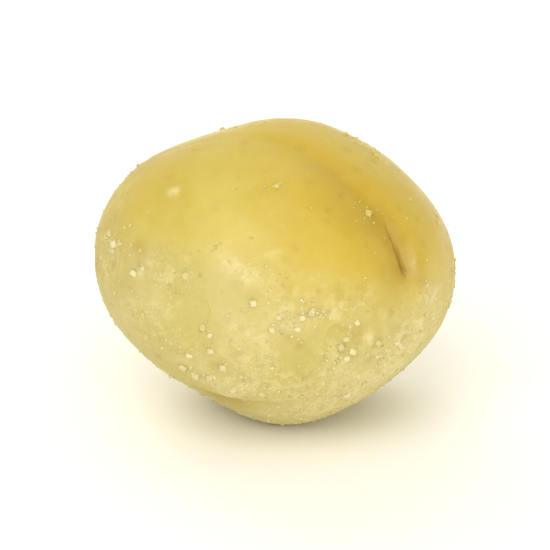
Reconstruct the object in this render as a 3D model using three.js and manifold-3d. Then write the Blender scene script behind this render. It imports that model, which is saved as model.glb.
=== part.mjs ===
// A shelled macadamia kernel, roasted and salted, lying on a small flat spot.
// Millimetres, +Z up. The side that is seen from the front faces -Y.
// A place on the kernel is a heading from its middle: an azimuth from the front, positive to the right,
// and an elevation above the horizon, both in degrees.

import * as THREE from 'three';
import { mergeVertices } from 'three/addons/utils/BufferGeometryUtils.js';
import Module from 'manifold-3d';

// The plain rounded body
const WIDTH = 20.4;
const DEPTH = 19.0;
const HEIGHT = 16.7;
const ROLL = 11; // degrees that its right end leans down
const MEAN_RADIUS = 9.3;

// Soft swellings and dents of the grown body: reach is the half width, height is outwards
const SWELLS = [
  { azimuth: -66, elevation: -44, reach: 5.5, height: -0.78 }, // lower left flank, which draws in
  { azimuth: 68, elevation: -36, reach: 5.0, height: -0.72 }, // lower right flank, which draws in
  { azimuth: -140, elevation: 52, reach: 5.0, height: -0.6 }, // slope at the upper left, behind
  { azimuth: 95, elevation: 6, reach: 4.5, height: 0.2 }, // right end
  { azimuth: -95, elevation: 25, reach: 4.0, height: 0.12 }, // left end
  { azimuth: 10, elevation: -68, reach: 3.4, height: 0.26 }, // lobe that it lies on
  { azimuth: -95, elevation: -70, reach: 3.0, height: 0.18 }, // the lobe's left side
  { azimuth: 175, elevation: 68, reach: 3.6, height: 0.3 }, // top of the collar
  { azimuth: 150, elevation: 35, reach: 5.0, height: 0.22 }, // shoulder behind, on the right
  { azimuth: -120, elevation: 0, reach: 4.0, height: -0.18 }, // hollow behind, on the left
  { azimuth: 120, elevation: -30, reach: 4.5, height: 0.15 }, // lower right, behind
  { azimuth: 118, elevation: 22, reach: 1.9, height: -0.2 }, // dimple on the right end
  { azimuth: -98, elevation: -14, reach: 2.1, height: -0.2 }, // dimple on the left end
  { azimuth: 30, elevation: -3, reach: 0.9, height: -0.1 }, // dimple low on the front
  { azimuth: -56, elevation: 21, reach: 0.8, height: -0.1 }, // dimple at the left of the front
];

// The smooth dome faces the front. A groove and a collar run round it, from the top to the right side.
const DOME = { azimuth: -24, elevation: 6 };
const GROOVE_ANGLE = 75.5; // degrees from the middle of the dome
const GROOVE_DEPTH = 0.42;
const GROOVE_DOME_SLOPE = 11; // degrees
const GROOVE_COLLAR_SLOPE = 4;
const GROOVE_LEAST = 0.1; // share of its depth where it is faint
const GROOVE_START = -20; // degrees round the dome, 0 at the top, where it begins to deepen
const GROOVE_FULL = 75;
const GROOVE_END = { from: 76, to: 91 };
const COLLAR_HEIGHT = 0.25;

// The scar end is opposite the dome: flattened, with a low rim, a dimple and the tip of the germ
const SCAR_FLAT = { angle: 34, depth: 0.38 };
const SCAR_RIM = { angle: 31, width: 7, height: 0.1 };
const SCAR_DIMPLE = { width: 8.5, depth: 0.28 };
const GERM_TIP = { width: 3.6, height: 0.42 };

// A lip low on the front, where the surface steps in towards the underside
const LIP = { azimuth: -15, elevation: -33, halfLength: 3.6, step: 0.3, width: 0.4, fade: 3.0 };

// The small flat spot is cut this far up from the lowest point of the grown body
const FOOT_CUT = 0.22;

// Salt crystals: clusters have a heading, a spread and a number, and the rest lie anywhere
const CRYSTAL_LEAST = 0.26;
const CRYSTAL_MOST = 0.46;
const CRYSTAL_SUNK = 0.22; // share of its size that the middle lies below the surface
const CRYSTAL_CLEARANCE = 2.0; // height above the flat spot that stays bare
const LOOSE_CRYSTALS = 26;
const CLUSTERS = [
  { azimuth: 5, elevation: 3, spread: 1.0, count: 6 },
  { azimuth: 17, elevation: 9, spread: 0.9, count: 4 },
  { azimuth: 24, elevation: -7, spread: 0.9, count: 4 },
  { azimuth: 42, elevation: -9, spread: 1.3, count: 5 },
  { azimuth: 64, elevation: 3, spread: 0.8, count: 3 },
  { azimuth: -69, elevation: 17, spread: 0.8, count: 4 },
  { azimuth: -51, elevation: 14, spread: 0.6, count: 2 },
  { azimuth: -25, elevation: -16, spread: 1.8, count: 7 },
  { azimuth: 112, elevation: -12, spread: 1.6, count: 5 },
  { azimuth: 148, elevation: 12, spread: 1.4, count: 5 },
  { azimuth: -165, elevation: -18, spread: 1.8, count: 6 },
  { azimuth: -122, elevation: 24, spread: 1.3, count: 4 },
];

// Fineness of the faceted surface: 20 x (detail + 1) squared triangles
const SPHERE_DETAIL = 19;
const MERGE_DISTANCE = 1e-3; // on a sphere of radius 1
const CUTTER_SIZE = 40;

const NUT_COLOUR = 0xdccc7c;
const NUT_ROUGHNESS = 0.5;

const UP = new THREE.Vector3(0, 0, 1);
const DOME_AXIS = heading(DOME);
const DOME_RIGHT = new THREE.Vector3().crossVectors(UP, DOME_AXIS).normalize();
const DOME_UP = new THREE.Vector3().crossVectors(DOME_AXIS, DOME_RIGHT);
const SCAR_AXIS = DOME_AXIS.clone().negate();

const wasm = await Module();
wasm.setup();

function heading({ azimuth, elevation }) {
  const a = THREE.MathUtils.degToRad(azimuth);
  const e = THREE.MathUtils.degToRad(elevation);
  return new THREE.Vector3(Math.sin(a) * Math.cos(e), -Math.cos(a) * Math.cos(e), Math.sin(e));
}

function smooth(value) {
  return THREE.MathUtils.smoothstep(value, 0, 1);
}

function bell(distance, width) {
  return Math.exp(-((distance / width) ** 2));
}

function angleBetween(direction, axis) {
  const cosine = THREE.MathUtils.clamp(direction.dot(axis), -1, 1);
  return THREE.MathUtils.radToDeg(Math.acos(cosine));
}

function arcBetween(direction, axis) {
  return THREE.MathUtils.degToRad(angleBetween(direction, axis)) * MEAN_RADIUS;
}

// Degrees round the dome's axis, 0 at the top and 90 on the right
function turnRoundDome(direction) {
  return THREE.MathUtils.radToDeg(Math.atan2(direction.dot(DOME_RIGHT), direction.dot(DOME_UP)));
}

// Radius of the tilted ellipsoid that the body starts from
function plainRadius(direction) {
  const roll = THREE.MathUtils.degToRad(ROLL);
  const x = direction.x * Math.cos(roll) - direction.z * Math.sin(roll);
  const z = direction.x * Math.sin(roll) + direction.z * Math.cos(roll);
  return 1 / Math.hypot((2 * x) / WIDTH, (2 * direction.y) / DEPTH, (2 * z) / HEIGHT);
}

function swells(direction) {
  let height = 0;
  for (const swell of SWELLS) {
    height += swell.height * bell(arcBetween(direction, heading(swell)), swell.reach);
  }
  return height;
}

// The groove deepens from the top to the right side and ends there, and is faint elsewhere
function groove(direction) {
  const turn = turnRoundDome(direction);
  const away = angleBetween(direction, DOME_AXIS) - GROOVE_ANGLE;
  const begun = smooth((turn - GROOVE_START) / (GROOVE_FULL - GROOVE_START));
  const ended = smooth((turn - GROOVE_END.from) / (GROOVE_END.to - GROOVE_END.from));
  const strength = GROOVE_LEAST + (1 - GROOVE_LEAST) * begun * (1 - ended);
  const underneath = 1 - 0.8 * smooth((Math.abs(turn) - 120) / 40);
  const dip = bell(away, away < 0 ? GROOVE_DOME_SLOPE : GROOVE_COLLAR_SLOPE);
  const collar = smooth((away - 1) / 8) * bell(Math.max(away - 9, 0), 22);
  return strength * underneath * (COLLAR_HEIGHT * collar - GROOVE_DEPTH * dip);
}

function scar(direction) {
  const angle = angleBetween(direction, SCAR_AXIS);
  const flat = -SCAR_FLAT.depth * (1 - smooth(angle / SCAR_FLAT.angle));
  const rim = SCAR_RIM.height * bell(angle - SCAR_RIM.angle, SCAR_RIM.width);
  const dimple = -SCAR_DIMPLE.depth * bell(angle, SCAR_DIMPLE.width);
  const tip = GERM_TIP.height * bell(angle, GERM_TIP.width);
  return flat + rim + dimple + tip;
}

function lip(direction) {
  const middle = heading(LIP);
  const right = new THREE.Vector3().crossVectors(UP, middle).normalize();
  const up = new THREE.Vector3().crossVectors(middle, right);
  const along = direction.dot(right) * MEAN_RADIUS;
  const below = -direction.dot(up) * MEAN_RADIUS;
  const stretch = bell(Math.max(Math.abs(along) - LIP.halfLength / 2, 0), LIP.halfLength / 2);
  const step = smooth(below / LIP.width + 0.5) * bell(Math.max(below, 0), LIP.fade);
  return direction.dot(middle) > 0 ? -LIP.step * stretch * step : 0;
}

function surfaceRadius(direction) {
  return plainRadius(direction) + swells(direction) + groove(direction) + scar(direction) + lip(direction);
}

// The faceted body round its own middle
function makeBody() {
  const sphere = new THREE.IcosahedronGeometry(1, SPHERE_DETAIL);
  sphere.deleteAttribute('normal');
  sphere.deleteAttribute('uv');
  const body = mergeVertices(sphere, MERGE_DISTANCE);
  const places = body.getAttribute('position');
  const direction = new THREE.Vector3();
  for (let i = 0; i < places.count; i++) {
    direction.fromBufferAttribute(places, i).normalize();
    const radius = surfaceRadius(direction);
    places.setXYZ(i, direction.x * radius, direction.y * radius, direction.z * radius);
  }
  body.computeBoundingBox();
  return body;
}

// Where the body's middle is when it stands on its flat spot, centred over the origin
function middleOf(body) {
  const { min, max } = body.boundingBox;
  return new THREE.Vector3(-(min.x + max.x) / 2, -(min.y + max.y) / 2, -min.z - FOOT_CUT);
}

// A draw between 0 and 1 that is always the same for a crystal's number and a use
function draw(index, use) {
  const value = Math.sin(index * 12.9898 + use * 78.233) * 43758.5453;
  return value - Math.floor(value);
}

function clusterHeading(cluster, index) {
  const middle = heading(cluster);
  const right = new THREE.Vector3().crossVectors(UP, middle).normalize();
  const up = new THREE.Vector3().crossVectors(middle, right);
  const reach = (cluster.spread * Math.sqrt(draw(index, 1))) / MEAN_RADIUS;
  const angle = 2 * Math.PI * draw(index, 2);
  middle.addScaledVector(right, reach * Math.cos(angle));
  middle.addScaledVector(up, reach * Math.sin(angle));
  return middle.normalize();
}

function looseHeading(index) {
  const azimuth = 360 * draw(index, 1);
  const elevation = THREE.MathUtils.radToDeg(Math.asin(2 * draw(index, 2) - 1));
  return heading({ azimuth, elevation });
}

// The headings of all crystals, the clustered ones first
function crystalHeadings() {
  const directions = [];
  for (const cluster of CLUSTERS) {
    for (let k = 0; k < cluster.count; k++) {
      directions.push(clusterHeading(cluster, directions.length));
    }
  }
  for (let k = 0; k < LOOSE_CRYSTALS; k++) {
    directions.push(looseHeading(directions.length));
  }
  return directions;
}

// One crystal: a small turned block, its root well inside the nut
function makeCrystal(direction, index, middle) {
  const sides = [3, 4, 5].map((use) => THREE.MathUtils.lerp(CRYSTAL_LEAST, CRYSTAL_MOST, draw(index, use)));
  const turns = [6, 7, 8].map((use) => Math.PI * draw(index, use));
  const crystal = new THREE.BoxGeometry(...sides);
  crystal.deleteAttribute('normal');
  crystal.deleteAttribute('uv');
  crystal.applyMatrix4(new THREE.Matrix4().makeRotationFromEuler(new THREE.Euler(...turns)));
  const radius = surfaceRadius(direction) - CRYSTAL_SUNK * Math.min(...sides);
  const place = direction.clone().multiplyScalar(radius).add(middle);
  crystal.translate(place.x, place.y, place.z);
  return { geometry: mergeVertices(crystal), height: place.z };
}

function toSolid(geometry) {
  const vertProperties = new Float32Array(geometry.getAttribute('position').array);
  const triVerts = new Uint32Array(geometry.index.array);
  return new wasm.Manifold(new wasm.Mesh({ numProp: 3, vertProperties, triVerts }));
}

function toGeometry(solid) {
  const { vertProperties, triVerts } = solid.getMesh();
  const geometry = new THREE.BufferGeometry();
  geometry.setAttribute('position', new THREE.BufferAttribute(vertProperties, 3));
  geometry.setIndex(new THREE.BufferAttribute(triVerts, 1));
  geometry.computeVertexNormals();
  return geometry;
}

// A block whose top is the level that the kernel lies on
function floorCutter() {
  const block = new THREE.BoxGeometry(CUTTER_SIZE, CUTTER_SIZE, CUTTER_SIZE);
  block.deleteAttribute('normal');
  block.deleteAttribute('uv');
  block.translate(0, 0, -CUTTER_SIZE / 2);
  return mergeVertices(block);
}

// The whole kernel: the body on its flat spot, with the crystals grown into its surface
function makeKernel() {
  const body = makeBody();
  const middle = middleOf(body);
  body.translate(middle.x, middle.y, middle.z);
  let solid = toSolid(body).subtract(toSolid(floorCutter()));
  crystalHeadings().forEach((direction, index) => {
    const { geometry, height } = makeCrystal(direction, index, middle);
    if (height > CRYSTAL_CLEARANCE) {
      solid = solid.add(toSolid(geometry));
    }
  });
  const material = new THREE.MeshStandardMaterial({
    color: NUT_COLOUR,
    roughness: NUT_ROUGHNESS,
    metalness: 0,
  });
  const kernel = new THREE.Mesh(toGeometry(solid), material);
  kernel.name = 'kernel';
  return kernel;
}

const part = new THREE.Group();
part.name = 'macadamia_kernel';
part.add(makeKernel());

export default part;
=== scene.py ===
# A shelled macadamia kernel, roasted and salted, lying on a pale floor.
# Metres, +Z up. The side that the camera sees faces -Y.
# A place on the kernel is a heading from its middle: an azimuth from the front, positive to the right,
# and an elevation above the horizon, both in degrees. Sizes on the kernel are in millimetres.

import bmesh
import bpy
import numpy as np
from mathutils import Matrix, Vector


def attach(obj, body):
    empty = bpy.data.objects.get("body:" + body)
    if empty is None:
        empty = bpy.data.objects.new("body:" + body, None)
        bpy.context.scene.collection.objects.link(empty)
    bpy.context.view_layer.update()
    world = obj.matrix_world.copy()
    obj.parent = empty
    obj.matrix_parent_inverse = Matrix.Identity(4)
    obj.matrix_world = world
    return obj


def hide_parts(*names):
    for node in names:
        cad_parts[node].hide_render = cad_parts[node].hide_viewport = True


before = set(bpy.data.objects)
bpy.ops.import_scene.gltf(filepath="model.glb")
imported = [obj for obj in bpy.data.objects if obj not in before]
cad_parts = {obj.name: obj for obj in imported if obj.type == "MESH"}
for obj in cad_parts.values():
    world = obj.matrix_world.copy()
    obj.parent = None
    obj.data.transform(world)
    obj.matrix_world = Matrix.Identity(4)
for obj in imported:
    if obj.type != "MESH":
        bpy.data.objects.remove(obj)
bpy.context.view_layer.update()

MM = 0.001

# The plain rounded body
WIDTH = 20.4
DEPTH = 19.0
HEIGHT = 16.7
ROLL = 11.0          # degrees that its right end leans down
MEAN_RADIUS = 9.3
FOOT_CUT = 0.22      # the flat spot is this far up from the lowest point

# Soft swellings and dents: azimuth, elevation, half width and height outwards
SWELLS = (
    (-66, -44, 5.5, -0.78),   # lower left flank, which draws in
    (68, -36, 5.0, -0.72),    # lower right flank, which draws in
    (-140, 52, 5.0, -0.60),   # slope at the upper left, behind
    (95, 6, 4.5, 0.20),       # right end
    (-95, 25, 4.0, 0.12),     # left end
    (10, -68, 3.4, 0.26),     # lobe that it lies on
    (-95, -70, 3.0, 0.18),    # the lobe's left side
    (175, 68, 3.6, 0.30),     # top of the collar
    (150, 35, 5.0, 0.22),     # shoulder behind, on the right
    (-120, 0, 4.0, -0.18),    # hollow behind, on the left
    (120, -30, 4.5, 0.15),    # lower right, behind
    (118, 22, 1.9, -0.20),    # dimple on the right end
    (-98, -14, 2.1, -0.20),   # dimple on the left end
    (30, -3, 0.9, -0.10),     # dimple low on the front
    (-56, 21, 0.8, -0.10),    # dimple at the left of the front
)

# The smooth dome, and the groove and collar round it
DOME = (-24, 6)
GROOVE_ANGLE = 75.5            # degrees from the middle of the dome
GROOVE_DEPTH = 0.42
GROOVE_DOME_SLOPE = 11.0       # degrees
GROOVE_COLLAR_SLOPE = 4.0
GROOVE_LEAST = 0.1             # share of its depth where it is faint
GROOVE_BEGIN = (-20, 75)       # degrees round the dome, 0 at the top, where it deepens
GROOVE_END = (76, 91)
GROOVE_UNDERNEATH = (120, 160, 0.8)    # where the faint part fades too, and by how much
COLLAR_HEIGHT = 0.25
COLLAR_RISE = (1, 9)           # degrees outside the groove
COLLAR_SLOPE = 22

# The scar end, opposite the dome: angle or width in degrees, and depth or height
SCAR_FLAT = (34.0, 0.38)
SCAR_RIM = (31.0, 7.0, 0.10)
SCAR_DIMPLE = (8.5, 0.28)
GERM_TIP = (3.6, 0.42)

# The lip low on the front
LIP = (-15, -33)
LIP_HALF_LENGTH = 3.6
LIP_STEP = 0.3
LIP_WIDTH = 0.4
LIP_FADE = 3.0

# Fine relief, which only this model has
CREASE = ((56.2, 40), (55.4, 34), (54.6, 26.5), (53.9, 20), (53.4, 15), (53.9, 10.5))
CREASE_WIDTH = (0.05, 0.12)    # at its upper and at its lower end
CREASE_BEGIN = (0.1, 0.8)      # shares of its length where it deepens, and where it ends
CREASE_END = (0.84, 1.0)
CREASE_DEPTH = 0.22
CREASE_HALO = 0.5              # half width of the shaded skin beside it
CREASE_BUMP = (56.4, 15.5, 0.42, 0.07)    # azimuth, elevation, half width and height outwards
CREASE_BUMP_TALL = 2.4         # how much taller than wide it is
SEAM_DEPTH = 0.05
SEAM_WIDTH = 0.13
SEAM_WANDER = 0.35             # how far it strays to the sides
SEAM_END = (40, 95)            # degrees from the scar
SCAR_WRINKLE_DEPTH = 0.08
SCAR_WRINKLE_BEGIN = (5, 12)   # degrees
SCAR_WRINKLE_END = (18, 40)
TIP_RING = (4.6, 1.3, 0.09)    # angle and width in degrees, and depth
PIT_COUNT = 260
PIT_DEPTH = 0.07
PIT_WIDTH = (0.12, 0.34)       # least and most
PITS_ON_GOLD = 0.25            # share of their depth that they have on the glossy cap
CHIP_COUNT = 60
CHIP_DEPTH = 0.06
CHIP_SIZE = (0.35, 1.1)
CHIP_EDGE = 0.16
CHIPS_ON_GOLD = 0.1
SKIN_WAVE = (2.6, 0.030)       # wavelength and height
SKIN_RIPPLE = (0.9, 0.010)
CRUST_RIPPLE = (0.9, 0.010)
CRUST_HEIGHT = 0.010
FLECK_HEIGHT = 0.022

# The glossy roasted cap: its middle, the degrees from there where it ends, and how that edge wanders
GOLD_CAP = (64, 76)
GOLD_END = (56, 78)
GOLD_WANDER = (5.0, 7.0)       # wavelength in millimetres, and degrees

# The brownish gold, partly painted shade of the groove: beside the groove, as azimuth, elevation, size and
# strength, and in the groove
AMBER_AND_SHADE_BESIDE = (47, 38, 2.6, 0.45)
AMBER_SHADE_IN_GROOVE = 0.8
AMBER_SHADE_OFFSET = 1.0             # degrees towards the collar
AMBER_SHADE_COLLAR_SLOPE = 7.0

# The painted shade under the lip: where it ends along the lip, and the share that is left past there
LIP_SHADE_END = (-0.8, 1.6)
LIP_SHADE_LEFT = 0.2

# The tan skin of the scar, in degrees, with its strength: at the tip, in a ring, and all over
SCAR_TAN_TIP = (8, 0.9)
SCAR_TAN_RING = (26, 5, 0.7)
SCAR_TAN_END = (20, 34, 0.25)

# Broad areas of deeper gold, with painted shade at the top and right edges, and small spots of brownish
# gold, one of them painted shade at the left edge: azimuth, elevation, size and strength
DEEP_GOLD_AND_SHADE = (
    (42, 40, 4.2, 1.0),
    (16, 19, 2.4, 0.5),
    # painted shade at the right edge
    (80, 26, 4.2, 0.9),
    # painted shade at the top edge
    (95, 72, 4.8, 0.9),
    (-76, 34, 2.4, 0.4),
)
STAINS_AND_SHADE = (
    # painted shade at the left edge
    (-82, 8, 2.4, 0.3),
    # browner in the dimple at the left of the front
    (-56, 21, 0.45, 0.5),
    # browner in the dimple low on the front
    (30, -3, 0.55, 0.45),
    (150, 20, 0.9, 0.5),
    (-150, -5, 1.2, 0.4),
    (100, -20, 0.8, 0.4),
    (-100, 40, 1.6, 0.5),
    (170, -40, 1.4, 0.4),
    (128, 48, 1.8, 0.45),
)

# Smears of fine salt, and pale patches low on the right that are painted light from the floor: azimuth,
# elevation, half length, half width, tilt in degrees and strength
SMEARS_AND_FLOOR_LIGHT = (
    # painted light from the floor, low on the right
    (52, -8, 3.0, 1.7, 15, 0.6),
    (-13, 22, 1.3, 0.45, -32, 0.9),
    (-54, 43, 0.36, 0.30, 0, 1.0),
    (0, 28, 0.40, 0.24, 15, 0.6),
    (7, 3, 0.75, 0.45, 20, 0.6),
    (21, 6, 0.35, 0.25, 0, 0.5),
    (34, -5, 0.5, 0.3, -60, 0.8),
    (-69, 17, 0.8, 0.4, -60, 0.5),
    (-51, 14, 0.35, 0.3, 0, 0.7),
    (-24, -22, 2.6, 0.9, -20, 0.5),
    (57.4, 17, 0.20, 0.6, -14, 0.4),
    (64, 2, 0.6, 0.4, 0, 0.7),
    (112, 55, 0.8, 0.3, -50, 0.7),
    (140, 30, 1.8, 0.6, 30, 0.6),
    (-130, 10, 2.0, 0.7, -40, 0.6),
    (-172, 35, 1.4, 0.6, 10, 0.5),
    # painted light from the floor, underneath on the right
    (28, -42, 3.4, 2.0, 20, 1.0),
    (10, -62, 2.6, 1.2, 0, 0.8),
    # painted light from the floor, low on the right
    (46, -24, 2.4, 1.3, 10, 0.8),
    (125, -28, 2.2, 1.0, 10, 0.6),
    (-150, -30, 2.4, 1.1, -25, 0.6),
)

# Large salt crystals, which the solid has too. Each cluster: azimuth, elevation, spread and number.
CRYSTAL_LEAST = 0.26
CRYSTAL_MOST = 0.46
CRYSTAL_SUNK = 0.22       # share of its size that the middle lies below the surface
CRYSTAL_CLEARANCE = 2.0   # height above the flat spot that stays bare
CRYSTAL_CHAMFER = 0.16    # share of its size that its worn edges take
CRYSTAL_WEAR = 0.02       # share of its size that its corners are out of place
LOOSE_CRYSTALS = 26
CLUSTERS = (
    (5, 3, 1.0, 6),
    (17, 9, 0.9, 4),
    (24, -7, 0.9, 4),
    (42, -9, 1.3, 5),
    (64, 3, 0.8, 3),
    (-69, 17, 0.8, 4),
    (-51, 14, 0.6, 2),
    (-25, -16, 1.8, 7),
    (112, -12, 1.6, 5),
    (148, 12, 1.4, 5),
    (-165, -18, 1.8, 6),
    (-122, 24, 1.3, 4),
)

# Fine salt and crumbs of nut, which only this model has
GRAIN_LEAST = 0.04
GRAIN_MOST = 0.16
GRAINS_ANYWHERE = 9000    # tried places, which are kept where powder has dried on
GRAINS_ON_BARE = 0.06     # share of them that is kept where none has
GRAINS_PER_CRYSTAL = 14
GRAIN_SPREAD = 0.55       # how far those lie from their crystal
GRAIN_SUNK = 0.25         # share of its size that the middle lies below the surface
GRAIN_WEAR = 0.09
CRUMB_LEAST = 0.07
CRUMB_MOST = 0.20
CRUMB_COUNT = 90
CRUMBS_ON_GOLD = 0.15     # share that is kept on the glossy cap
FINE_CLEARANCE = CRYSTAL_CLEARANCE / 3    # the bare height for grains and crumbs

# Fineness: cells along each side of the cube, and how many cells are split in four in each round
CUBE_STEPS = 112
SPLIT_CELLS = (3700, 1300)

# Colours, 0 to 255 as on a screen: the flesh, from the lighter to the darker of its broad areas
PALE = ((195, 180, 114), (185, 171, 92))
GOLDEN = ((203, 182, 86), (195, 171, 68))

# What is laid over the flesh's own colour, its marks and the painted shade and light, from the lowest to
# the highest: the most of its share, and its colour
LAYERS = {
    "mottle": (0.2, (208, 195, 124)),
    # deeper gold, with painted shade at the top and right edges
    "deep_gold_and_shade": (0.7, (194, 163, 34)),
    # brownish gold, partly painted shade along the groove and at the left edge
    "amber_and_groove_shade": (0.8, (168, 134, 20)),
    # painted shade under the lip
    "lip_shade": (0.9, (166, 140, 46)),
    "crust": (0.3, (223, 212, 164)),
    "fleck": (0.4, (217, 205, 145)),
    # salt smears, with painted light from the floor low on the right
    "smear_and_floor_light": (0.6, (227, 216, 165)),
    "scar": (0.6, (176, 140, 66)),
    # painted shade in the crease, the seam and the pits
    "hollow": (0.55, (138, 102, 14)),
}

# The small pieces: the two ends of their own colours, and the colour that they turn on the glossy cap
CRUMB_COLOURS = ((206, 192, 122), (190, 172, 92))
CRUMB_GOLD = (194, 168, 66)
SALT_COLOURS = ((190, 176, 110), (217, 206, 156))
SALT_GOLD = (200, 178, 84)
SALT_GOLD_SHARE = 0.7

# The surfaces. Each texture: its scale per metre, its octaves and its roughness.
BROAD = (260, 4, 0.5)
MOTTLE = (1300, 5, 0.65)
SPECKLE = (5200, 3, 0.6)
COARSE_BUMP = (1500, 4, 0.6)
FINE_BUMP = (6000, 3, 0.6)
CRUMB_SHADE = (2500, 3, 0.5)
COARSE_BUMP_SHARE = 0.6
FINE_BUMP_SHARE = 0.25
BUMP_STRENGTH = 0.35
BUMP_HEIGHT = 0.00006
PALE_ROUGHNESS = 0.55
GOLD_ROUGHNESS = 0.33
CRUST_ROUGHNESS = 0.12         # added where powder has dried on
MOTTLE_ROUGHNESS = 0.05        # added or taken off
CRUMB_ROUGHNESS = 0.6
SALT_ROUGHNESS = 0.28
FLOOR_ROUGHNESS = 0.9
NUT_IOR = 1.47
SALT_IOR = 1.54
SUBSURFACE_WEIGHT = 0.35
SUBSURFACE_RADIUS = (1.0, 0.7, 0.3)
SUBSURFACE_SCALE = 0.0008

# The floor and the world, in linear colours
FLOOR_HALF = 1.5
FLOOR_COLOUR = (0.97, 0.96, 0.93, 1)
WORLD_COLOUR = (1, 0.97, 0.86, 1)
WORLD_STRENGTH = 0.77

# The lamps: azimuth, elevation, watts, and whether each shows in the gloss
LAMP_DISTANCE = 0.5
LAMP_SIZE = 0.4
LAMPS = {
    "key": (-20, 46, 1.1, True),
    "fill": (24, 5, 1.2, True),
    "back": (-165, 28, 1.2, False),
}

# The camera, at the photograph's angle: it faces the front and looks down a little, from far off
CAMERA_ELEVATION = 22.0
CAMERA_DISTANCE = 0.62
CAMERA_AIM_BELOW = 0.0004      # below the kernel's middle
FRAME_SHARE = 0.66             # share of the picture's width that the kernel takes
SENSOR = 36.0


def heading(azimuth, elevation):
    a, e = np.radians(azimuth), np.radians(elevation)
    return np.stack([np.sin(a) * np.cos(e), -np.cos(a) * np.cos(e), np.sin(e) + 0 * a], axis=-1)


def unit(vectors):
    return vectors / np.linalg.norm(vectors, axis=-1, keepdims=True)


UP = np.array([0.0, 0.0, 1.0])
DOME_AXIS = heading(*DOME)
DOME_RIGHT = unit(np.cross(UP, DOME_AXIS))
DOME_UP = np.cross(DOME_AXIS, DOME_RIGHT)


def smooth(value):
    t = np.clip(value, 0, 1)
    return t * t * (3 - 2 * t)


def ramp(value, start, end):
    """0 up to the start and 1 from the end on."""
    return smooth((value - start) / (end - start))


def bell(distance, width):
    return np.exp(-(distance / width) ** 2)


def angle_between(directions, axis):
    return np.degrees(np.arccos(np.clip(directions @ axis, -1, 1)))


def arc_between(directions, axis):
    return np.radians(angle_between(directions, axis)) * MEAN_RADIUS


def tangents(middle):
    right = unit(np.cross(UP, middle))
    return right, np.cross(middle, right)


# The grown form, as in the solid

def plain_radius(d):
    roll = np.radians(ROLL)
    x = d[:, 0] * np.cos(roll) - d[:, 2] * np.sin(roll)
    z = d[:, 0] * np.sin(roll) + d[:, 2] * np.cos(roll)
    return 1 / np.sqrt((2 * x / WIDTH) ** 2 + (2 * d[:, 1] / DEPTH) ** 2 + (2 * z / HEIGHT) ** 2)


def swells(d):
    height = np.zeros(len(d))
    for azimuth, elevation, reach, rise in SWELLS:
        height += rise * bell(arc_between(d, heading(azimuth, elevation)), reach)
    return height


def turn_round_dome(d):
    return np.degrees(np.arctan2(d @ DOME_RIGHT, d @ DOME_UP))


def groove_strength(d):
    turn = turn_round_dome(d)
    begun = ramp(turn, *GROOVE_BEGIN)
    ended = ramp(turn, *GROOVE_END)
    start, end, share = GROOVE_UNDERNEATH
    underneath = 1 - share * ramp(np.abs(turn), start, end)
    return (GROOVE_LEAST + (1 - GROOVE_LEAST) * begun * (1 - ended)) * underneath


def groove_dip(d):
    away = angle_between(d, DOME_AXIS) - GROOVE_ANGLE
    return bell(away, np.where(away < 0, GROOVE_DOME_SLOPE, GROOVE_COLLAR_SLOPE))


def groove(d):
    away = angle_between(d, DOME_AXIS) - GROOVE_ANGLE
    collar = ramp(away, *COLLAR_RISE) * bell(np.maximum(away - COLLAR_RISE[1], 0), COLLAR_SLOPE)
    return groove_strength(d) * (COLLAR_HEIGHT * collar - GROOVE_DEPTH * groove_dip(d))


def scar(d):
    angle = angle_between(d, -DOME_AXIS)
    flat = -SCAR_FLAT[1] * (1 - smooth(angle / SCAR_FLAT[0]))
    rim = SCAR_RIM[2] * bell(angle - SCAR_RIM[0], SCAR_RIM[1])
    dimple = -SCAR_DIMPLE[1] * bell(angle, SCAR_DIMPLE[0])
    tip = GERM_TIP[1] * bell(angle, GERM_TIP[0])
    return flat + rim + dimple + tip


def lip_place(d):
    """How far along and below the lip each direction lies, and how much of the lip is there."""
    middle = heading(*LIP)
    right, up = tangents(middle)
    along = (d @ right) * MEAN_RADIUS
    below = -(d @ up) * MEAN_RADIUS
    stretch = bell(np.maximum(np.abs(along) - LIP_HALF_LENGTH / 2, 0), LIP_HALF_LENGTH / 2)
    return along, below, np.where(d @ middle > 0, stretch, 0)


def lip(d):
    _, below, stretch = lip_place(d)
    step = smooth(below / LIP_WIDTH + 0.5) * bell(np.maximum(below, 0), LIP_FADE)
    return -LIP_STEP * stretch * step


def grown_radius(d):
    return plain_radius(d) + swells(d) + groove(d) + scar(d) + lip(d)


# Noise on the sphere of directions: lattice gradients, in any number of octaves

NOISE_TABLE = np.random.default_rng(7).permutation(256)
NOISE_GRADIENTS = unit(np.random.default_rng(8).normal(size=(256, 3)))


def lattice_noise(points):
    cell = np.floor(points).astype(int)
    part = points - cell
    fade = part ** 3 * (part * (part * 6 - 15) + 10)
    total = np.zeros(len(points))
    for corner in np.ndindex(2, 2, 2):
        x, y, z = ((cell + corner) & 255).T
        gradient = NOISE_GRADIENTS[NOISE_TABLE[(NOISE_TABLE[(NOISE_TABLE[x] + y) & 255] + z) & 255]]
        weight = np.prod(np.where(corner, fade, 1 - fade), axis=1)
        total += weight * ((part - corner) * gradient).sum(axis=1)
    return total


def noise(d, wavelength, octaves=1, seed=0):
    """About -1 to 1, its largest features as many millimetres apart as wavelength says."""
    total = np.zeros(len(d))
    share = 1.0
    for octave in range(octaves):
        points = d * MEAN_RADIUS / wavelength * 2 ** octave + 17.3 * (seed + 5 * octave)
        total += share * lattice_noise(points)
        share *= 0.5
    return 1.6 * total


def patches(d, level, contrast, wavelength, octaves, seed):
    """Ragged patches, 0 to 1, which cover more where the level is higher."""
    return smooth(level + contrast * noise(d, wavelength, octaves, seed))


# Masks, 0 to 1

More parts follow.
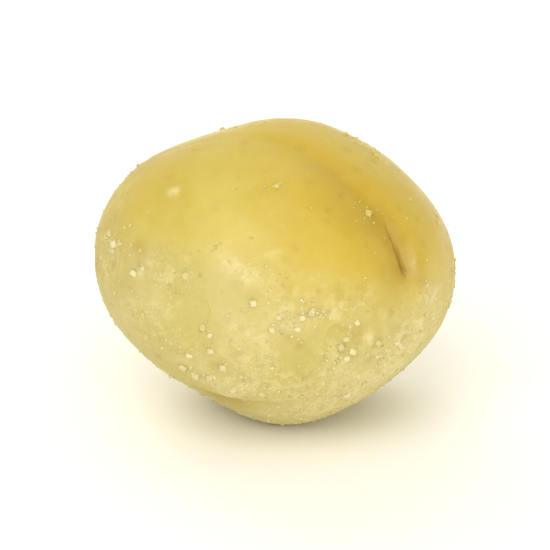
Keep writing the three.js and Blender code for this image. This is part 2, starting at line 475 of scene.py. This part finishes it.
def gold_mask(d):
    """The glossy roasted cap on the upper side."""
    wavelength, degrees = GOLD_WANDER
    edge = angle_between(d, heading(*GOLD_CAP)) + degrees * noise(d, wavelength, 3, seed=1)
    return 1 - ramp(edge, *GOLD_END)


def deep_gold_and_shade_mask(d):
    """The broad areas of deeper gold, with painted shade at the top and right edges."""
    wander = 0.8 * noise(d, 3.0, 3, seed=15)
    mask = np.zeros(len(d))
    for azimuth, elevation, reach, share in DEEP_GOLD_AND_SHADE:
        away = arc_between(d, heading(azimuth, elevation)) + wander
        mask = np.maximum(mask, share * bell(np.maximum(away - 1, 0), reach))
    return mask


def amber_and_groove_shade_mask(d):
    """The brownish gold along the groove, partly painted shade of the groove, and a few small spots, one of
    them painted shade at the left edge.
    """
    azimuth, elevation, size, share = AMBER_AND_SHADE_BESIDE
    beside = share * bell(arc_between(d, heading(azimuth, elevation)), size)
    away = angle_between(d, DOME_AXIS) - GROOVE_ANGLE - AMBER_SHADE_OFFSET
    across = bell(away, np.where(away < 0, GROOVE_DOME_SLOPE, AMBER_SHADE_COLLAR_SLOPE))
    # painted shade along the groove
    inside = AMBER_SHADE_IN_GROOVE * groove_strength(d) * across
    mask = np.maximum(beside, inside) + 0.25 * noise(d, 2.2, 3, seed=11) * (beside + inside)
    for azimuth, elevation, size, share in STAINS_AND_SHADE:
        away = arc_between(d, heading(azimuth, elevation)) + 0.3 * size * noise(d, 0.8, 2, seed=12)
        mask += share * bell(away, size)
    return np.clip(mask, 0, 1)


def lip_shade_mask(d):
    """Painted shade in the shelter of the lip, mostly at its left."""
    along, below, stretch = lip_place(d)
    left = 1 - (1 - LIP_SHADE_LEFT) * ramp(along, *LIP_SHADE_END)
    sheltered = smooth(below / LIP_WIDTH + 0.3) * bell(np.maximum(below, 0), 0.7 * LIP_FADE)
    return left * stretch ** 2 * sheltered


def smear_and_floor_light_mask(d):
    """Smears and spots where powder of salt lies thicker, and paler patches low on the right that are
    painted light from the floor.
    """
    ragged = 0.5 * noise(d, 0.9, 3, seed=13)
    mask = np.zeros(len(d))
    for azimuth, elevation, length, width, tilt, share in SMEARS_AND_FLOOR_LIGHT:
        right, up = tangents(heading(azimuth, elevation))
        x, y = (d @ right) * MEAN_RADIUS, (d @ up) * MEAN_RADIUS
        slant = np.radians(tilt)
        along = (x * np.cos(slant) + y * np.sin(slant)) / length
        across = (y * np.cos(slant) - x * np.sin(slant)) / width
        facing = d @ heading(azimuth, elevation) > 0
        mask += np.where(facing, share * np.exp(-along ** 2 - across ** 2) * (1 + ragged), 0)
    return np.clip(mask, 0, 1)


def crust_mask(d):
    """Where powder of salt has dried on: broken patches away from the glossy cap, and the smears, some of
    which are painted light from the floor.
    """
    broken = patches(d, 0.45, 1.3, wavelength=3.2, octaves=4, seed=2)
    return np.clip(broken * (1 - 0.95 * gold_mask(d)) ** 1.6 + smear_and_floor_light_mask(d), 0, 1)


def fleck_mask(d):
    """The crust's own small flakes."""
    return crust_mask(d) * patches(d, 0.2, 1.6, wavelength=0.5, octaves=2, seed=16)


def segment_distance(d, stops):
    """Millimetres from a line through headings, and how far along it, 0 to 1."""
    points = heading(*np.array(stops, float).T)
    best = np.full(len(d), 1e9)
    along = np.zeros(len(d))
    for k in range(len(points) - 1):
        start, run = points[k], points[k + 1] - points[k]
        t = np.clip(((d - start) @ run) / (run @ run), 0, 1)
        away = np.linalg.norm(d - start - t[:, None] * run, axis=1) * MEAN_RADIUS
        nearer = away < best
        best = np.where(nearer, away, best)
        along = np.where(nearer, (k + t) / (len(points) - 1), along)
    return best, along


def crease(d):
    away, along = segment_distance(d, CREASE)
    away = away + 0.05 * noise(d, 0.7, 2, seed=14)
    ends = ramp(along, *CREASE_BEGIN) * (1 - ramp(along, *CREASE_END))
    return ends * bell(away, np.interp(along, (0, 1), CREASE_WIDTH))


def crease_halo(d):
    """The shaded skin beside the crease."""
    away, along = segment_distance(d, CREASE)
    return ramp(along, 0, 0.6) * (1 - ramp(along, 0.8, 1)) * bell(away, CREASE_HALO)


def crease_bump(d):
    """The pale bump beside the crease's lower end."""
    azimuth, elevation, width, height = CREASE_BUMP
    middle = heading(azimuth, elevation)
    right, up = tangents(middle)
    across = (d @ right) * MEAN_RADIUS / width
    above = (d @ up) * MEAN_RADIUS / (width * CREASE_BUMP_TALL)
    return np.where(d @ middle > 0, height * np.exp(-across ** 2 - above ** 2), 0)


def seam(d):
    """The line where the two halves meet: plain at the scar end, gone on the dome."""
    away = (d @ DOME_RIGHT) * MEAN_RADIUS + SEAM_WANDER * noise(d, 4.0, 3, seed=3)
    ended = ramp(angle_between(d, -DOME_AXIS), *SEAM_END)
    broken = patches(d, 0.75, 0.9, wavelength=2.4, octaves=2, seed=17)
    return bell(away, SEAM_WIDTH) * (1 - ended) * broken


def scar_wrinkles(d):
    """Fine folds that run in towards the scar, -1 to 1."""
    angle = angle_between(d, -DOME_AXIS)
    right, up = tangents(-DOME_AXIS)
    turn = np.arctan2(d @ up, d @ right)
    folds = lattice_noise(np.stack([4.5 * np.cos(turn), 4.5 * np.sin(turn), angle / 18], axis=1) + 40)
    return 1.6 * folds * ramp(angle, *SCAR_WRINKLE_BEGIN) * (1 - ramp(angle, *SCAR_WRINKLE_END))


def scar_mask(d):
    """The tan skin of the scar: round its tip, in a broken ring, and faint all over it."""
    angle = angle_between(d, -DOME_AXIS) + 3 * noise(d, 2.0, 3, seed=18)
    tip = SCAR_TAN_TIP[1] * bell(angle, SCAR_TAN_TIP[0])
    ring = SCAR_TAN_RING[2] * bell(angle - SCAR_TAN_RING[0], SCAR_TAN_RING[1])
    ring *= patches(d, 0.5, 1, wavelength=3.0, octaves=2, seed=19)
    start, end, share = SCAR_TAN_END
    return np.clip(tip + ring + share * (1 - ramp(angle, start, end)), 0, 1)


def scattered(count, seed):
    """Random headings, evenly spread."""
    return unit(np.random.default_rng(seed).normal(size=(count, 3)))


def pits(d):
    """Small round pits, as a share of the deepest."""
    rng = np.random.default_rng(31)
    depth = np.zeros(len(d))
    for middle in scattered(PIT_COUNT, 32):
        width = rng.uniform(*PIT_WIDTH)
        share = rng.uniform(0.3, 1.0)
        near = d @ middle > np.cos(4 * width / MEAN_RADIUS)
        away = arc_between(d[near], middle)
        depth[near] = np.maximum(depth[near], share * bell(away, width))
    return depth


def chips(d):
    """Shallow scales where the skin has flaked, with an edge on one side."""
    rng = np.random.default_rng(41)
    depth = np.zeros(len(d))
    for middle in scattered(CHIP_COUNT, 42):
        right, up = tangents(middle)
        size = rng.uniform(*CHIP_SIZE)
        spin = rng.uniform(0, 2 * np.pi)
        near = d @ middle > np.cos(3 * size / MEAN_RADIUS)
        x = (d[near] @ right) * MEAN_RADIUS
        y = (d[near] @ up) * MEAN_RADIUS
        ragged = 0.25 * size * noise(d[near], 0.6, 2, seed=4)
        a = x * np.cos(spin) + y * np.sin(spin) + ragged
        b = y * np.cos(spin) - x * np.sin(spin) + ragged
        inside = smooth((size - np.hypot(a, 1.4 * b)) / CHIP_EDGE)
        slope = smooth((a / size + 1.2) / 1.6)
        depth[near] = np.maximum(depth[near], inside * slope)
    return depth


def fine_relief(d):
    """Millimetres outwards that the fine surface departs from the grown form."""
    salted = 1 - gold_mask(d)
    skin = SKIN_WAVE[1] * noise(d, SKIN_WAVE[0], 2, seed=5)
    skin += SKIN_RIPPLE[1] * noise(d, SKIN_RIPPLE[0], 2, seed=6)
    crust = crust_mask(d) * (CRUST_HEIGHT + CRUST_RIPPLE[1] * noise(d, CRUST_RIPPLE[0], 3, seed=7))
    crust += FLECK_HEIGHT * fleck_mask(d)
    worn = PIT_DEPTH * (PITS_ON_GOLD + (1 - PITS_ON_GOLD) * salted) * pits(d)
    worn += CHIP_DEPTH * (CHIPS_ON_GOLD + (1 - CHIPS_ON_GOLD) * salted) * chips(d)
    lines = CREASE_DEPTH * crease(d) + SEAM_DEPTH * seam(d) + SCAR_WRINKLE_DEPTH * scar_wrinkles(d)
    ring = TIP_RING[2] * bell(angle_between(d, -DOME_AXIS) - TIP_RING[0], TIP_RING[1])
    return skin + crust - worn - lines - ring + crease_bump(d)


def skin_radius(d):
    return grown_radius(d) + fine_relief(d)


def hollow_mask(d):
    """The shade in the crease, in the seam and in the pits."""
    return np.clip(crease(d) + 0.45 * crease_halo(d) + 0.6 * seam(d) + 0.4 * pits(d), 0, 1)


MASKS = {
    "gold": gold_mask,
    "deep_gold_and_shade": deep_gold_and_shade_mask,
    "amber_and_groove_shade": amber_and_groove_shade_mask,
    "crust": crust_mask,
    "fleck": fleck_mask,
    "smear_and_floor_light": smear_and_floor_light_mask,
    "scar": scar_mask,
    "lip_shade": lip_shade_mask,
    "hollow": hollow_mask,
}


# The fine surface: a cube of square cells blown up to a ball, then shaped

def cube_ball(steps):
    """Unit directions and four-cornered faces, with shared corners."""
    ticks = np.tan(np.linspace(-1, 1, steps + 1) * np.pi / 4)
    u, v = np.meshgrid(ticks, ticks, indexing="ij")
    ones = np.ones_like(u)
    sides = ((ones, u, v), (-ones, v, u), (v, ones, u), (u, -ones, v), (u, v, ones), (v, u, -ones))
    points = np.concatenate([np.stack(side, axis=-1).reshape(-1, 3) for side in sides])
    keys = np.round(points * 1e6).astype(np.int64)
    _, first, index = np.unique(keys, axis=0, return_index=True, return_inverse=True)
    index = index.reshape(6, steps + 1, steps + 1)
    corners = (index[:, :-1, :-1], index[:, 1:, :-1], index[:, 1:, 1:], index[:, :-1, 1:])
    faces = np.stack(corners, axis=-1).reshape(-1, 4)
    return unit(points[first]), faces.tolist()


def split_sharp_cells(d, faces):
    """The ball with its cells split in four where the fine relief bends most."""
    mesh = bpy.data.meshes.new("ball")
    mesh.from_pydata(d.tolist(), [], faces)
    shape = bmesh.new()
    shape.from_mesh(mesh)
    bpy.data.meshes.remove(mesh)
    for count in SPLIT_CELLS:
        relief = fine_relief(d)
        middles = unit(np.array([d[corners].mean(axis=0) for corners in faces]))
        flat = np.array([relief[corners].mean() for corners in faces])
        sharpest = np.argsort(-np.abs(fine_relief(middles) - flat), kind="stable")[:count]
        shape.faces.ensure_lookup_table()
        shape.edges.ensure_lookup_table()
        chosen = sorted({edge.index for index in sharpest for edge in shape.faces[index].edges})
        edges = [shape.edges[index] for index in chosen]
        bmesh.ops.subdivide_edges(shape, edges=edges, cuts=1, use_grid_fill=True)
        shape.verts.index_update()
        shape.edges.index_update()
        shape.faces.index_update()
        d = unit(np.array([vert.co for vert in shape.verts]))
        faces = [[vert.index for vert in face.verts] for face in shape.faces]
    shape.free()
    return d, faces


def body_middle(d):
    """Where the grown form's middle is when it stands on its flat spot over the origin."""
    points = d * grown_radius(d)[:, None]
    low, high = points.min(axis=0), points.max(axis=0)
    return np.array([-(low[0] + high[0]) / 2, -(low[1] + high[1]) / 2, -low[2] - FOOT_CUT])


def mesh_object(name, points, faces, rounded):
    mesh = bpy.data.meshes.new(name)
    mesh.from_pydata(points, [], faces)
    mesh.polygons.foreach_set("use_smooth", [rounded] * len(mesh.polygons))
    mesh.update()
    piece = bpy.data.objects.new(name, mesh)
    bpy.context.scene.collection.objects.link(piece)
    return piece


def add_attribute(mesh, name, values):
    layer = mesh.attributes.new(name, "FLOAT", "POINT")
    layer.data.foreach_set("value", np.asarray(values, dtype=np.float32))


def make_kernel():
    d, faces = split_sharp_cells(*cube_ball(CUBE_STEPS))
    middle = body_middle(d)
    points = d * skin_radius(d)[:, None] + middle
    points[:, 2] = np.maximum(points[:, 2], 0)
    kernel = mesh_object("nut_flesh", (points * MM).tolist(), faces, rounded=True)
    for name, mask in MASKS.items():
        add_attribute(kernel.data, name, mask(d))
    kernel.data.materials.append(nut_material())
    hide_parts("kernel")
    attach(kernel, "root")
    return middle


# Salt and crumbs

def draw(index, use):
    """A draw between 0 and 1 that is always the same for a crystal's number and a use."""
    value = np.sin(index * 12.9898 + use * 78.233) * 43758.5453
    return value - np.floor(value)


def cluster_heading(azimuth, elevation, spread, index):
    middle = heading(azimuth, elevation)
    right, up = tangents(middle)
    reach = spread * np.sqrt(draw(index, 1)) / MEAN_RADIUS
    angle = 2 * np.pi * draw(index, 2)
    return unit(middle + reach * np.cos(angle) * right + reach * np.sin(angle) * up)


def loose_heading(index):
    elevation = np.degrees(np.arcsin(2 * draw(index, 2) - 1))
    return heading(360 * draw(index, 1), elevation)


def crystal_headings():
    directions = []
    for azimuth, elevation, spread, count in CLUSTERS:
        for _ in range(count):
            directions.append(cluster_heading(azimuth, elevation, spread, len(directions)))
    for _ in range(LOOSE_CRYSTALS):
        directions.append(loose_heading(len(directions)))
    return np.array(directions)


def turned(x, y, z):
    """The matrix that turns by three angles in radians, about Z first and X last."""
    (sx, sy, sz), (cx, cy, cz) = np.sin((x, y, z)), np.cos((x, y, z))
    about_x = np.array([(1, 0, 0), (0, cx, -sx), (0, sx, cx)])
    about_y = np.array([(cy, 0, sy), (0, 1, 0), (-sy, 0, cy)])
    about_z = np.array([(cz, -sz, 0), (sz, cz, 0), (0, 0, 1)])
    return about_x @ about_y @ about_z


def hull_faces(points):
    """The faces of the convex shape round some points."""
    shape = bmesh.new()
    for point in points:
        shape.verts.new(point)
    bmesh.ops.convex_hull(shape, input=shape.verts)
    shape.verts.index_update()
    faces = [[vert.index for vert in face.verts] for face in shape.faces]
    shape.free()
    return faces


def block_points(chamfer):
    """The corners of a cube of side 1, each worn to three."""
    points = []
    for corner in np.ndindex(2, 2, 2):
        sign = np.array(corner) * 2 - 1
        for axis in range(3):
            inner = np.full(3, 0.5 - chamfer)
            inner[axis] = 0.5
            points.append(sign * inner)
    return np.array(points)


def gather(name, parts, material, rounded=False):
    """One piece from many small ones: each its points in millimetres, its faces and its share of gold."""
    rng = np.random.default_rng(91)
    points = []
    faces = []
    tones = []
    golds = []
    for own_points, own_faces, gold in parts:
        faces.extend([[index + len(points) for index in face] for face in own_faces])
        points.extend((own_points * MM).tolist())
        tones.extend([rng.random()] * len(own_points))
        golds.extend([gold] * len(own_points))
    piece = mesh_object(name, points, faces, rounded)
    add_attribute(piece.data, "tone", tones)
    add_attribute(piece.data, "gold", golds)
    piece.data.materials.append(material)
    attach(piece, "root")


def make_crystals(middle, salt):
    """The large crystals, in the places that the solid has them."""
    directions = crystal_headings()
    radii = grown_radius(directions)
    gold = gold_mask(directions)
    rng = np.random.default_rng(51)
    block = block_points(CRYSTAL_CHAMFER)
    faces = hull_faces(block)
    parts = []
    for index, direction in enumerate(directions):
        size = CRYSTAL_LEAST + (CRYSTAL_MOST - CRYSTAL_LEAST) * draw(index, np.array([3, 4, 5]))
        place = direction * (radii[index] - CRYSTAL_SUNK * size.min()) + middle
        if place[2] > CRYSTAL_CLEARANCE:
            turn = turned(*(np.pi * draw(index, np.array([6, 7, 8]))))
            worn = block + rng.normal(size=block.shape) * CRYSTAL_WEAR
            parts.append(((worn * size) @ turn.T + place, faces, gold[index]))
    gather("salt_crystals", parts, salt)


def grain_headings(rng):
    """Places for fine grains: where powder has dried on, and round the crystals."""
    anywhere = unit(rng.normal(size=(GRAINS_ANYWHERE, 3)))
    kept = GRAINS_ON_BARE + (1 - GRAINS_ON_BARE) * crust_mask(anywhere) ** 1.5
    anywhere = anywhere[rng.random(len(anywhere)) < kept]
    centres = np.repeat(crystal_headings(), GRAINS_PER_CRYSTAL, axis=0)
    near = unit(centres + rng.normal(size=centres.shape) * GRAIN_SPREAD / MEAN_RADIUS)
    return np.concatenate([anywhere, near])


def make_grains(middle, salt):
    rng = np.random.default_rng(61)
    directions = grain_headings(rng)
    places = directions * skin_radius(directions)[:, None] + middle
    block = np.array(list(np.ndindex(2, 2, 2))) - 0.5
    faces = hull_faces(block)
    parts = []
    for direction, place, gold in zip(directions, places, gold_mask(directions)):
        size = GRAIN_LEAST + (GRAIN_MOST - GRAIN_LEAST) * rng.random() ** 2.2
        shape = size * rng.uniform(0.7, 1.3, size=3)
        turn = turned(*rng.uniform(0, np.pi, size=3))
        if place[2] > FINE_CLEARANCE:
            worn = block + rng.normal(size=block.shape) * GRAIN_WEAR
            sunk = place - direction * size * GRAIN_SUNK
            parts.append(((worn * shape) @ turn.T + sunk, faces, gold))
    gather("salt_grains", parts, salt)


def ball(detail):
    shape = bmesh.new()
    bmesh.ops.create_icosphere(shape, subdivisions=detail, radius=1)
    shape.verts.index_update()
    points = np.array([vert.co for vert in shape.verts])
    faces = [[vert.index for vert in face.verts] for face in shape.faces]
    shape.free()
    return points, faces


def make_crumbs(middle):
    """Crumbs of nut that have stuck to the surface: low lumps with a ragged outline."""
    rng = np.random.default_rng(71)
    template, faces = ball(2)
    directions = unit(rng.normal(size=(CRUMB_COUNT * 3, 3)))
    kept = CRUMBS_ON_GOLD + (1 - CRUMBS_ON_GOLD) * (1 - gold_mask(directions))
    directions = directions[rng.random(len(directions)) <= kept][:CRUMB_COUNT]
    places = directions * skin_radius(directions)[:, None] + middle
    parts = []
    for direction, place, gold in zip(directions, places, gold_mask(directions)):
        right, up = tangents(direction)
        size = CRUMB_LEAST + (CRUMB_MOST - CRUMB_LEAST) * rng.random() ** 2
        spin = rng.uniform(0, 2 * np.pi)
        axes = np.array([
            (right * np.cos(spin) + up * np.sin(spin)) * rng.uniform(0.8, 1.5),
            (up * np.cos(spin) - right * np.sin(spin)) * rng.uniform(0.6, 1.0),
            direction * rng.uniform(0.25, 0.5),
        ])
        ragged = 1 + 0.5 * noise(template, 6.0, 3, seed=rng.integers(1000))
        if place[2] > FINE_CLEARANCE:
            parts.append((size * (template * ragged[:, None]) @ axes + place, faces, gold))
    gather("crumbs", parts, crumb_material(), rounded=True)


# Materials

class Nodes:
    """A short way to write a node material."""

    def __init__(self, name):
        self.material = bpy.data.materials.new(name)
        self.material.use_nodes = True
        self.tree = self.material.node_tree
        self.tree.nodes.clear()

    def add(self, kind, settings=None, **inputs):
        node = self.tree.nodes.new(kind)
        for key, value in (settings or {}).items():
            setattr(node, key, value)
        for key, value in inputs.items():
            self.put(node, key.replace("_", " "), value)
        return node

    def put(self, node, socket, value):
        if isinstance(value, bpy.types.NodeSocket):
            self.tree.links.new(value, node.inputs[socket])
        else:
            node.inputs[socket].default_value = value

    def attribute(self, name):
        return self.add("ShaderNodeAttribute", {"attribute_name": name}).outputs["Fac"]

    def noise(self, scale, detail, roughness):
        place = self.add("ShaderNodeTexCoord").outputs["Object"]
        node = self.add("ShaderNodeTexNoise", Vector=place, Scale=scale, Detail=detail, Roughness=roughness)
        return node.outputs["Fac"]

    def spread(self, value, low, high, to_low=0.0, to_high=1.0):
        node = self.add("ShaderNodeMapRange", Value=value)
        node.inputs["From Min"].default_value = low
        node.inputs["From Max"].default_value = high
        node.inputs["To Min"].default_value = to_low
        node.inputs["To Max"].default_value = to_high
        return node.outputs["Result"]

    def math(self, kind, first, second):
        node = self.add("ShaderNodeMath", {"operation": kind})
        self.put(node, 0, first)
        self.put(node, 1, second)
        return node.outputs[0]

    def blend(self, share, first, second):
        node = self.add("ShaderNodeMix", {"data_type": "RGBA"})
        self.put(node, 0, share)
        self.put(node, 6, first)
        self.put(node, 7, second)
        return node.outputs[2]

    def end_with(self, shader):
        self.add("ShaderNodeOutputMaterial", Surface=shader.outputs["BSDF"])
        return self.material


def colour(red, green, blue):
    """A linear colour from the 0 to 255 values of a screen."""
    values = np.array([red, green, blue]) / 255
    linear = np.where(values <= 0.04045, values / 12.92, ((values + 0.055) / 1.055) ** 2.4)
    return (*linear.tolist(), 1.0)


def nut_material():
    n = Nodes("roasted_nut")
    masks = {name: n.attribute(name) for name in MASKS}
    crust, gold = masks["crust"], masks["gold"]
    broad = n.spread(n.noise(*BROAD), 0.35, 0.65)
    mottle = n.spread(n.noise(*MOTTLE), 0.35, 0.65)
    speckle = n.spread(n.noise(*SPECKLE), 0.40, 0.75)
    masks["mottle"] = mottle
    masks["crust"] = n.math("MULTIPLY", speckle, crust)
    masks["smear_and_floor_light"] = n.math("MULTIPLY", masks["smear_and_floor_light"], n.spread(speckle, 0, 1, 0.5, 1))
    pale, golden = [n.blend(broad, colour(*light), colour(*dark)) for light, dark in (PALE, GOLDEN)]
    base = n.blend(gold, pale, golden)
    for name, (share, tint) in LAYERS.items():
        base = n.blend(n.math("MULTIPLY", masks[name], share), base, colour(*tint))
    rough = n.spread(gold, 0, 1, PALE_ROUGHNESS, GOLD_ROUGHNESS)
    rough = n.math("ADD", rough, n.math("MULTIPLY", crust, CRUST_ROUGHNESS))
    rough = n.math("ADD", rough, n.spread(mottle, 0, 1, -MOTTLE_ROUGHNESS, MOTTLE_ROUGHNESS))
    coarse = n.math("MULTIPLY", n.noise(*COARSE_BUMP), COARSE_BUMP_SHARE)
    fine = n.math("MULTIPLY", n.noise(*FINE_BUMP), FINE_BUMP_SHARE)
    height = n.math("ADD", coarse, fine)
    bump = n.add("ShaderNodeBump", Height=height, Strength=BUMP_STRENGTH, Distance=BUMP_HEIGHT)
    shader = n.add("ShaderNodeBsdfPrincipled")
    n.put(shader, "Base Color", base)
    n.put(shader, "Roughness", rough)
    n.put(shader, "Normal", bump.outputs["Normal"])
    shader.inputs["IOR"].default_value = NUT_IOR
    shader.inputs["Subsurface Weight"].default_value = SUBSURFACE_WEIGHT
    shader.inputs["Subsurface Radius"].default_value = SUBSURFACE_RADIUS
    shader.inputs["Subsurface Scale"].default_value = SUBSURFACE_SCALE
    return n.end_with(shader)


def crumb_material():
    n = Nodes("crumb")
    shader = n.add("ShaderNodeBsdfPrincipled")
    shade = n.spread(n.noise(*CRUMB_SHADE), 0.35, 0.65)
    crumb = n.blend(shade, *(colour(*tint) for tint in CRUMB_COLOURS))
    n.put(shader, "Base Color", n.blend(n.attribute("gold"), crumb, colour(*CRUMB_GOLD)))
    shader.inputs["Roughness"].default_value = CRUMB_ROUGHNESS
    return n.end_with(shader)


def salt_material():
    n = Nodes("salt")
    shader = n.add("ShaderNodeBsdfPrincipled")
    salt = n.blend(n.attribute("tone"), *(colour(*tint) for tint in SALT_COLOURS))
    gold = n.math("MULTIPLY", n.attribute("gold"), SALT_GOLD_SHARE)
    n.put(shader, "Base Color", n.blend(gold, salt, colour(*SALT_GOLD)))
    shader.inputs["Roughness"].default_value = SALT_ROUGHNESS
    shader.inputs["IOR"].default_value = SALT_IOR
    return n.end_with(shader)


def floor_material():
    n = Nodes("white_floor")
    shader = n.add("ShaderNodeBsdfPrincipled")
    shader.inputs["Base Color"].default_value = FLOOR_COLOUR
    shader.inputs["Roughness"].default_value = FLOOR_ROUGHNESS
    return n.end_with(shader)


# The stage, the light and the camera

def make_floor():
    corners = [(x * FLOOR_HALF, y * FLOOR_HALF, 0) for x, y in ((-1, -1), (1, -1), (1, 1), (-1, 1))]
    floor = mesh_object("floor", corners, [(0, 1, 2, 3)], rounded=False)
    floor.data.materials.append(floor_material())


def aim(thing, place, target):
    direction = np.array(target) - np.array(place)
    thing.location = place
    thing.rotation_mode = "QUATERNION"
    thing.rotation_quaternion = Vector(direction).to_track_quat("-Z", "Y")


def make_lamp(name, azimuth, elevation, power, in_gloss, target):
    lamp = bpy.data.lights.new(name, "AREA")
    lamp.shape = "SQUARE"
    lamp.size = LAMP_SIZE
    lamp.energy = power
    thing = bpy.data.objects.new(name, lamp)
    thing.visible_camera = False
    thing.visible_glossy = in_gloss
    bpy.context.scene.collection.objects.link(thing)
    aim(thing, (np.array(target) + heading(azimuth, elevation) * LAMP_DISTANCE).tolist(), target)


def make_light(target):
    world = bpy.data.worlds.new("studio")
    bpy.context.scene.world = world
    world.use_nodes = True
    world.node_tree.nodes["Background"].inputs["Color"].default_value = WORLD_COLOUR
    world.node_tree.nodes["Background"].inputs["Strength"].default_value = WORLD_STRENGTH
    for name, lamp in LAMPS.items():
        make_lamp(name, *lamp, target)


def make_camera(target):
    camera = bpy.data.cameras.new("camera")
    camera.sensor_width = SENSOR
    camera.lens = SENSOR * CAMERA_DISTANCE * FRAME_SHARE / (WIDTH * MM)
    thing = bpy.data.objects.new("camera", camera)
    bpy.context.scene.collection.objects.link(thing)
    place = np.array(target) + heading(0, CAMERA_ELEVATION) * CAMERA_DISTANCE
    aim(thing, place.tolist(), target)
    bpy.context.scene.camera = thing


def main():
    target = (0.0, 0.0, HEIGHT * MM / 2 - CAMERA_AIM_BELOW)
    make_camera(target)
    middle = make_kernel()
    salt = salt_material()
    make_crystals(middle, salt)
    make_grains(middle, salt)
    make_crumbs(middle)
    make_floor()
    make_light(target)
    bpy.context.scene.view_settings.view_transform = "Standard"


main()
